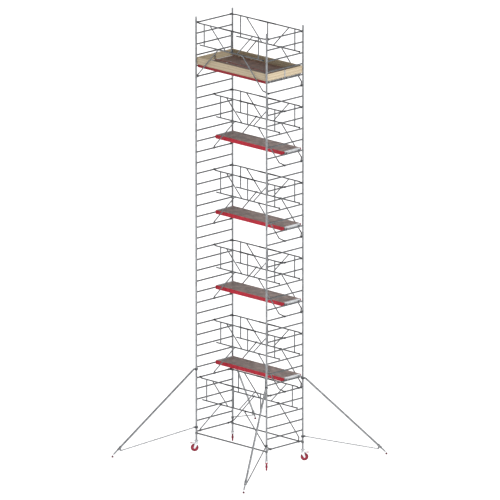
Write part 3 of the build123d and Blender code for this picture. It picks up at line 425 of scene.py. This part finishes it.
def piece(name, grids, material, body, wrap=(False, True), sharp=40, replaced=()):
    """One object from grids of points, each of shape (..., rows, columns, 3).

    Quads join neighbouring rows and columns, and wrap joins the last row or column to the first. A
    copy whose signed volume, the sum of its quads' tetrahedra from the origin, is negative is turned
    over, so that faces look outwards. Points that fall together, as at a pole, are merged.
    """
    points, faces, used = [], [], 0
    for grid in grids:
        rows, columns = grid.shape[-3:-1]
        copies = np.asarray(grid, float).reshape(-1, rows * columns, 3)
        row = np.arange(rows if wrap[0] else rows - 1)[:, None]
        column = np.arange(columns if wrap[1] else columns - 1)[None, :]
        next_row, next_column = (row + 1) % rows, (column + 1) % columns
        quad = np.stack([row * columns + column, row * columns + next_column,
                         next_row * columns + next_column, next_row * columns + column], -1).reshape(-1, 4)
        a, b, c, d = [copies[:, quad[:, side]] - copies.mean(1, keepdims=True) for side in range(4)]
        volume = np.einsum("kij,kij->k", a, np.cross(b, c)) + np.einsum("kij,kij->k", a, np.cross(c, d))
        every = np.where(volume[:, None, None] < 0, quad[None, :, ::-1], quad[None])
        every = every + (np.arange(len(copies)) * rows * columns)[:, None, None] + used
        points.append(copies.reshape(-1, 3))
        faces.append(every.reshape(-1, 4))
        used += copies.shape[0] * copies.shape[1]
    mesh = bpy.data.meshes.new(name)
    mesh.from_pydata(np.concatenate(points).tolist(), [], np.concatenate(faces).tolist())
    work = bmesh.new()
    work.from_mesh(mesh)
    bmesh.ops.remove_doubles(work, verts=work.verts, dist=1e-6)
    work.to_mesh(mesh)
    work.free()
    mesh.shade_smooth()
    mesh.set_sharp_from_angle(angle=np.radians(sharp))
    mesh.materials.append(material)
    made = bpy.data.objects.new(name, mesh)
    bpy.context.scene.collection.objects.link(made)
    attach(made, body)
    if replaced:
        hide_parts(*replaced)
    return made


def turned(profile, starts, directions, count=32):
    """A profile of (distance along, radius) turned round an axis, or round each of many axes:
    point = start + along * axis + radius * (cos a * first + sin a * second)."""
    along, first, second = [part[..., None, None, :] for part in square_axes(directions)]
    profile = np.asarray(profile, float)[:, :, None, None]
    angle = turns(count)[:, None]
    spoke = np.cos(angle) * first + np.sin(angle) * second
    return np.asarray(starts, float)[..., None, None, :] + profile[:, 0] * along + profile[:, 1] * spoke


WELD_SWELL, WELD_RIPPLES = 0.14, 8


def weld_beads(crossings, branches, mains, branch_r, main_r, bead=0.0026, count=20):
    """Weld beads where branch tubes meet main tubes.

    At each angle about a branch, its wall line is followed until it is main_r from the main tube's
    axis, which is one root of a quadratic. The bead is a ring of small circles about that curve,
    and their radius swells and shrinks by a seventh, WELD_RIPPLES times round, as a hand-laid weld
    does.
    """
    crossings = np.asarray(crossings, float)[:, None, :]
    along, first, second = [part[:, None, :] for part in square_axes(branches)]
    main = unit(np.asarray(mains, float))[:, None, :]
    angle = turns(count)[None, :, None]
    wall = branch_r * (np.cos(angle) * first + np.sin(angle) * second)
    wall_off = wall - (wall * main).sum(-1, keepdims=True) * main
    along_off = along - (along * main).sum(-1, keepdims=True) * main
    half_b = (wall_off * along_off).sum(-1, keepdims=True)
    a = (along_off ** 2).sum(-1, keepdims=True)
    c = (wall_off ** 2).sum(-1, keepdims=True) - main_r ** 2
    reach = (np.sqrt(np.clip(half_b ** 2 - a * c, 0, None)) - half_b) / a
    curve = crossings + wall + reach * along
    forward = unit(np.roll(curve, -1, 1) - np.roll(curve, 1, 1))
    outward = unit(wall)
    other = unit(np.cross(forward, outward))
    size = bead * (1 + WELD_SWELL * np.sin(WELD_RIPPLES * angle))[..., None]
    round_it = turns(5)[None, None, :, None]
    offset = np.cos(round_it) * outward[:, :, None, :] + np.sin(round_it) * other[:, :, None, :]
    return curve[:, :, None, :] + size * offset


def bolt_heads(starts, directions, across=0.013, height=0.006):
    """Hexagon heads with a chamfered top: six columns, and rows from the seat up to the middle."""
    radius = across / np.sqrt(3)
    profile = [(0, 0), (0, radius), (height * 0.75, radius), (height, radius * 0.86), (height, 0)]
    return turned(profile, starts, directions, 6)


def pan_heads(starts, directions, radius=0.006, height=0.0022):
    """Low domed screw heads: the radius falls as the cosine while the height rises as the sine."""
    angle = np.linspace(0, np.pi / 2, 4)
    dome = np.stack([height * np.sin(angle), radius * np.cos(angle)], -1)
    return turned(np.concatenate([[[0, 0]], dome]), starts, directions, 10)


# --- welded joints of frames and guardrails -----------------------------------------------------------
first_rung = 1
for tier, count in enumerate(TIER_RUNGS, start=1):
    heights = rung_height(np.arange(first_rung, first_rung + count))
    first_rung += count
    places = np.meshgrid([-HALF_BAY, HALF_BAY], [-HALF_WIDTH, HALF_WIDTH], heights)
    x, y, z = [part.ravel() for part in places]
    crossings = np.stack([x, y, z], -1)
    inwards = np.stack([0 * x, -np.sign(y), 0 * x], -1)
    beads = weld_beads(crossings, inwards, np.broadcast_to(UP, crossings.shape), RUNG_R, TUBE_R)
    piece(f"rung_welds_tier_{tier}", [beads], frame_tube, "tower", wrap=(True, True),
          sharp=180)

RAIL_OFFSET = 0.065  # from the plane of a guardrail's hooks out to its tubes
BASE_HOOK, OUTER_HOOK = 0.5, HALF_WIDTH - RAIL_OFFSET
BASE_RAIL_RUNG, TOP_RAIL_RUNG = 6, 39
RAIL_RISE = 4  # rungs from a platform up to its top rail
# each unit is the hooks' distance from the middle, the top rail's rung, and the side it faces
UNITS = {"base": [(side * BASE_HOOK, BASE_RAIL_RUNG, side) for side in (-1, 1)],
         "top": [(side * OUTER_HOOK, TOP_RAIL_RUNG, side) for side in (-1, 1)]}
for level, rung in enumerate(LEVEL_RUNGS, start=1):
    UNITS[f"level_{level}"] = [(0.0, rung + RAIL_RISE, -1), (OUTER_HOOK, rung + RAIL_RISE, 1)]
LOWER_DROP = 2 * PITCH
POSTS = np.array([-0.96, 0.0, 0.96])
BRACE_TOP, BRACE_FOOT = 0.755, 0.2
RAIL_BEAD = 0.0022
GRIP_HALF, GRIP_RINGS = 0.285, 20
PIVOT_X, PIVOT_OUT = 0.43, 0.057
for level, units in UNITS.items():
    beads, ribs, screws = [], [], []
    for hook_y, rung, side in units:
        y, top = hook_y + side * RAIL_OFFSET, rung_height(rung)
        posts = np.stack([POSTS, 0 * POSTS + y, 0 * POSTS], -1)
        for height, way in ((top, -1), (top - LOWER_DROP, 1)):
            spots = posts + [0, 0, height]
            beads.append(weld_beads(spots, np.tile([0, 0, way], (3, 1)), np.tile([1, 0, 0], (3, 1)),
                                    POST_R, RAIL_R, bead=RAIL_BEAD, count=16))
        hand = np.array([-1.0, 1.0])
        head = np.stack([hand * BRACE_TOP, 0 * hand + y, 0 * hand + top], -1)
        foot = np.stack([hand * BRACE_FOOT, 0 * hand + y, 0 * hand + top - LOWER_DROP], -1)
        for spots, ways in ((head, foot - head), (foot, head - foot)):
            beads.append(weld_beads(spots, ways, np.tile([1, 0, 0], (2, 1)), BRACE_R, RAIL_R,
                                    bead=RAIL_BEAD, count=16))
        # raised rings of the hand grip, one every 30 mm
        ring_x = np.linspace(-GRIP_HALF, GRIP_HALF, GRIP_RINGS)
        rings = np.stack([ring_x, np.full(GRIP_RINGS, y), np.full(GRIP_RINGS, top)], -1)
        swell = [(-0.006, 0.0192), (-0.004, 0.0207), (0.004, 0.0207), (0.006, 0.0192)]
        ribs.append(turned(swell, rings, np.tile([1, 0, 0], (GRIP_RINGS, 1)), 16))
        pivots = np.stack([hand * PIVOT_X, 0 * hand + y + side * PIVOT_OUT, 0 * hand + top - LOWER_DROP], -1)
        screws.append(bolt_heads(pivots, np.tile([0, side, 0], (2, 1)), across=0.017, height=0.008))
    piece(f"guardrail_welds_{level}", beads, rail_tube, "tower", wrap=(True, True),
          sharp=180)
    piece(f"grip_rings_{level}", ribs, dark_nylon, "tower", wrap=(True, True))
    piece(f"leg_pivot_bolts_{level}", screws, plated_steel, "tower")

# --- platforms ----------------------------------------------------------------------------------------
SCREW_X = np.array([-1.14, -1.1, -0.375, 0.0, 0.39, 0.78, 1.14])
SCREW_Y = np.linspace(-0.25, 0.25, 5)
RIVET_X = np.linspace(-1.17, 1.17, 14)
RIVET_ROWS = (-0.022, 0.044)  # above and below the axis of the rung that holds the platform
RING_INSET, RING_LIFT, RING_R, RING_WIRE_R = 0.241, 0.006, 0.02, 0.003
for name, (side, rung) in PLATFORMS.items():
    middle, top = side * PLATFORM_MIDDLE, rung_height(rung) + DECK_TOP
    x, y = [part.ravel() for part in np.meshgrid(SCREW_X, SCREW_Y)]
    spots = np.stack([x, y + middle, np.full(x.shape, top)], -1)
    rivets = []
    for edge in (-1, 1):
        for height in RIVET_ROWS:
            line = np.stack([RIVET_X, 0 * RIVET_X + middle + edge * CHANNEL_FACE,
                             0 * RIVET_X + rung_height(rung) + height], -1)
            ways = np.tile([0, edge, 0], (len(RIVET_X), 1))
            rivets.append(pan_heads(line, ways, radius=0.005, height=0.002))
    screws = pan_heads(spots, np.tile(UP, (len(spots), 1)))
    piece(f"deck_screws_{name}", [screws], plated_steel, "tower")
    piece(f"channel_rivets_{name}", rivets, red_frame, "tower")
    # pull ring of the trapdoor: a small circle carried round a larger one, lying on its plate
    low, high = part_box(f"hatch_{name}")
    ring_middle = np.array([(low.x + high.x) / 2, middle - side * RING_INSET, top + RING_LIFT])
    around, across = turns(24)[:, None, None], turns(8)[None, :, None]
    spoke = np.cos(around) * np.array([1.0, 0, 0]) + np.sin(around) * np.array([0, 1.0, 0])
    pull = ring_middle + RING_R * spoke + RING_WIRE_R * (np.cos(across) * spoke + np.sin(across) * UP)
    piece(f"trapdoor_ring_{name}", [pull], plated_steel, f"hatch_{name}", wrap=(True, True))


# --- toe boards -----------------------------------------------------------------------------------------
ARRIS, END_BEVEL = 0.004, 0.003


def planed_board(start, end, thickness, width):
    """A board with rounded arrises: a rounded rectangle carried along a straight line, bevelled and
    drawn in to its middle at both ends."""
    along, across, _ = square_axes(np.subtract(end, start))
    angle = turns(32)
    # the small turn keeps every angle off the signs' change at the quarter turns
    corner_x = np.sign(np.cos(angle + 1e-9)) * (thickness / 2 - ARRIS)
    corner_z = np.sign(np.sin(angle + 1e-9)) * (width / 2 - ARRIS)
    section_x = (corner_x + ARRIS * np.cos(angle))[:, None] * across
    section = section_x + (corner_z + ARRIS * np.sin(angle))[:, None] * UP
    inner = section * (1 - END_BEVEL / np.linalg.norm(section, axis=-1, keepdims=True))
    start, end = np.asarray(start, float), np.asarray(end, float)
    tip = END_BEVEL * along
    return np.stack([start + 0 * section, start + inner, start + tip + section,
                     end - tip + section, end + inner, end + 0 * section])


long_boards, end_boards = [], []
for side in (-1, 1):
    long_boards.append(planed_board((-LONG_HALF, side * long_y, board_middle),
                                    (LONG_HALF, side * long_y, board_middle), BOARD_THICK, board_width))
    end_boards.append(planed_board((side * end_x, -END_HALF, board_middle),
                                   (side * end_x, END_HALF, board_middle), BOARD_THICK, board_width))
piece("toe_boards_long", long_boards, spruce_x, "tower", replaced=("toe_boards",))
piece("toe_boards_end", end_boards, spruce_y, "tower")


# --- castors --------------------------------------------------------------------------------------------
def screw_thread(base, low_z, high_z, root, depth, pitch, count=24):
    """A screwed rod: the radius is the root plus the depth times a flat-topped triangular wave of
    height / pitch minus angle / full turn, so that its crest climbs one pitch in each turn."""
    height = np.arange(low_z, high_z, pitch / 6)[:, None]
    angle = turns(count)[None, :]
    phase = height / pitch - angle / (2 * np.pi)
    wave = np.abs(2 * (phase - np.floor(phase + 0.5)))
    radius = root + depth * np.clip(2 * wave - 0.4, 0, 1)
    closed = np.concatenate([0 * radius[:1], radius, 0 * radius[:1]])
    level = np.concatenate([height[:1], height, height[-1:]]) + 0 * closed
    return base + np.stack([closed * np.cos(angle), closed * np.sin(angle), level], -1)


def wheel_tyre(middle, axle):
    """The tyre: a crowned tread with rounded shoulders and a shallow step in each side wall."""
    half = 0.021
    across = np.linspace(-1, 1, 15)
    tread = np.stack([across * (half - 0.001), 0.1 - 0.007 * np.abs(across) ** 2.6], -1)
    right = [(half, 0.0905), (half, 0.087), (half - 0.002, 0.0855), (half - 0.002, 0.0765)]
    left = [(-along, radius) for along, radius in right[::-1]]
    return turned(np.concatenate([tread, right, left]), middle, axle, 64)


def wheel_centre(middle, axle):
    """The wheel centre: a dished disc whose thickness rises on eight spokes, as the fourth power of a
    raised cosine of the angle, between a boss round the axle and a rim under the tyre."""
    along, first, second = square_axes(axle)
    radius = np.array([0.0082, 0.012, 0.022, 0.026, 0.03, 0.045, 0.06, 0.066, 0.0695, 0.0758])
    disc = np.array([0.0248, 0.0248, 0.0244, 0.015, 0.008, 0.0065, 0.0065, 0.010, 0.0162, 0.0168])
    spoke = np.array([0.0, 0.0, 0.0, 0.003, 0.009, 0.008, 0.0075, 0.004, 0.0, 0.0])
    angle = turns(64)
    raised = (0.5 + 0.5 * np.cos(8 * angle)) ** 2
    half = disc[:, None] + spoke[:, None] * raised[None, :]
    rows_along = np.concatenate([half, -half[::-1]])[..., None]
    rows_radius = np.concatenate([radius, radius[::-1]])[:, None, None]
    around = np.cos(angle)[:, None] * first + np.sin(angle)[:, None] * second
    return middle + rows_along * along + rows_radius * around


WHEEL_TRAIL, WHEEL_R = 0.045, 0.1
FLANGE_Z, CROWN_Z, PEDAL_Z = 0.2475, 0.218, 0.2208
# the crown plate's four bolts, along the castor's trail and across it
CROWN_BOLTS = np.array([(-0.036, -0.024), (-0.036, 0.024), (0.062, -0.023), (0.062, 0.023)])
GRIP_BARS = np.linspace(0.114, 0.144, 4)
for name in CORNERS:
    place, trail, _ = corner(name)
    axle = np.cross(UP, trail)
    middle = place + trail * WHEEL_TRAIL + UP * WHEEL_R
    piece(f"tyre_{name}", [wheel_tyre(middle, axle)], wheel_red, f"castor_wheel_{name}",
          wrap=(True, True), sharp=50, replaced=(f"castor_wheel_{name}",))
    piece(f"wheel_centre_{name}", [wheel_centre(middle, axle)], hub_red, f"castor_wheel_{name}",
          wrap=(True, True), sharp=50)
    thread = screw_thread(place, low_z=0.255, high_z=0.8, root=0.0165, depth=0.0025, pitch=0.008)
    flange = turned([(0, 0), (0, 0.031), (0.001, 0.032), (0.0075, 0.032), (0.0085, 0.031), (0.0085, 0)],
                    place + UP * FLANGE_Z, UP, 48)
    piece(f"screwed_spindle_{name}", [thread, flange], plated_steel, f"castor_spindle_{name}",
          sharp=50, replaced=(f"castor_spindle_{name}",))
    spots = place + CROWN_BOLTS[:, :1] * trail + CROWN_BOLTS[:, 1:] * axle + UP * CROWN_Z
    piece(f"crown_bolts_{name}", [bolt_heads(spots, np.tile(UP, (4, 1)), 0.013, 0.005)], plated_steel,
          f"castor_fork_{name}")
    # grip bars across the pedal's tread
    bars = []
    for out in GRIP_BARS:
        centre = place + trail * out + UP * PEDAL_Z
        bars.append(turned([(-0.034, 0), (-0.034, 0.0016), (0.034, 0.0016), (0.034, 0)], centre, axle, 8))
    piece(f"pedal_grip_{name}", bars, pedal_red, f"brake_pedal_{name}")


# --- stabilisers ----------------------------------------------------------------------------------------
# the main tube's ends and the ball, outwards from the upright and up from the floor
TUBE_TOP, TUBE_END = np.array([0.085, 2.13]), np.array([2.035, 0.2])
FOOT_OUT, BALL_Z = 2.19, 0.044
BALL_R, NECK_ANGLE = 0.014, 0.62
CLAMP_HEIGHTS = (2.15, 0.63)
LUG_OUT, LUG_HALF, CLAMP_BACK = 0.062, 0.021, 0.046
for name in CORNERS:
    place, _, outwards = corner(name)
    sideways = np.cross(UP, outwards)
    slope = unit(TUBE_END - TUBE_TOP)
    down = outwards * slope[0] + UP * slope[1]
    mouth = place + outwards * TUBE_END[0] + UP * TUBE_END[1]
    leg = [(-0.9, 0.018), (-0.9, 0.02), (0.168, 0.02), (0.17, 0.0185), (0.17, 0), (0.168, 0), (0.168, 0.018)]
    piece(f"telescopic_leg_{name}", [turned(leg, mouth, down, 32)], outrigger_tube, f"stabiliser_leg_{name}",
          wrap=(True, True), replaced=(f"stabiliser_leg_{name}",))
    ball = place + outwards * FOOT_OUT + UP * BALL_Z
    neck = mouth + down * 0.168
    reach = np.linalg.norm(ball - neck)
    angle = np.linspace(NECK_ANGLE, np.pi, 12)
    stud = np.concatenate([[(0, 0), (0, 0.012), (0.004, 0.012), (0.004, 0.008)],
                           np.stack([reach - BALL_R * np.cos(angle), BALL_R * np.sin(angle)], -1)])
    piece(f"ball_stud_{name}", [turned(stud, neck, ball - neck, 24)], plated_steel, f"stabiliser_leg_{name}")
    ribs = [(0.0, 0.0), (0.0, 0.028), (0.001, 0.029), (0.006, 0.029), (0.007, 0.0275),
            (0.010, 0.027), (0.011, 0.028), (0.015, 0.0272), (0.016, 0.0258), (0.019, 0.0252),
            (0.020, 0.0262), (0.024, 0.0252), (0.030, 0.0238), (0.036, 0.0215), (0.0395, 0.018),
            (0.040, 0.0145), (0.034, 0.0103), (0.0305, 0.0)]
    piece(f"rubber_foot_{name}", [turned(ribs, ball - UP * BALL_Z, UP, 40)], foot_rubber,
          f"stabiliser_leg_{name}")
    # lugs' bolts, one each side of both clamps, and the tightening bolt at the back of each
    spots, ways = [], []
    for height in CLAMP_HEIGHTS:
        for hand in (-1, 1):
            spots.append(place + outwards * LUG_OUT + sideways * hand * LUG_HALF + UP * height)
            ways.append(sideways * hand)
        spots.append(place - outwards * CLAMP_BACK + UP * height)
        ways.append(-outwards)
    heads = bolt_heads(np.array(spots), np.array(ways), 0.017, 0.008)
    piece(f"clamp_bolts_{name}", [heads], plated_steel, f"stabiliser_tube_{name}")

# --- studio ---------------------------------------------------------------------------------------------
scene = bpy.context.scene
scene.view_settings.view_transform = "Standard"
FLOOR_R = 150.0
# below the lowest that the castors and the outrigger feet reach at the ends of their joints
FLOOR_Z = -0.4
mesh = bpy.data.meshes.new("studio_floor")
edge = turns(64)
disc = np.stack([FLOOR_R * np.cos(edge), FLOOR_R * np.sin(edge), 0 * edge + FLOOR_Z], -1)
mesh.from_pydata(disc.tolist(), [], [list(range(64))])
mesh.materials.append(plain_floor())
floor = bpy.data.objects.new("studio_floor", mesh)
scene.collection.objects.link(floor)

world = bpy.data.worlds.new("soft studio")
world.use_nodes = True
scene.world = world
tree = world.node_tree
ray = add(tree, "TexCoord", {})["Generated"]
up = add(tree, "SeparateXYZ", {0: ray})["Z"]
fade = add(tree, "MapRange", {0: up, 1: 0.0, 2: 0.9})[0]
sky = add(tree, "Mix", {0: fade, 6: linear("#C0C0C2"), 7: linear("#D8D8DA")}, data_type="RGBA")[2]
tree.links.new(sky, tree.nodes["Background"].inputs["Color"])
tree.nodes["Background"].inputs["Strength"].default_value = 0.9

key = bpy.data.lights.new("key", "SUN")
key.energy = 2.2
key.angle = np.radians(35)  # a broad sun, so that its shading is soft
lamp = bpy.data.objects.new("key", key)
lamp.rotation_euler = Vector((0.74, -0.12, 0.66)).to_track_quat("Z", "Y").to_euler()
scene.collection.objects.link(lamp)

# a camera very far away with a long lens, so that parallel tubes stay parallel
DISTANCE, SENSOR = 400.0, 36.0
VIEW_WIDTH = 12.565
AIM = np.array([0.009, 0.009, 5.372])
azimuth, elevation = np.radians(-45), np.radians(15)
away = np.array([np.cos(azimuth) * np.cos(elevation), np.sin(azimuth) * np.cos(elevation), np.sin(elevation)])
camera = bpy.data.objects.new("camera", bpy.data.cameras.new("camera"))
camera.location = AIM + away * DISTANCE
camera.rotation_euler = (np.pi / 2 - elevation, 0, azimuth + np.pi / 2)
camera.data.sensor_width = SENSOR
camera.data.lens = SENSOR / 2 / (VIEW_WIDTH / 2 / DISTANCE)
camera.data.clip_end = 1000.0
camera.data.clip_start = 1.0
scene.collection.objects.link(camera)
scene.camera = camera
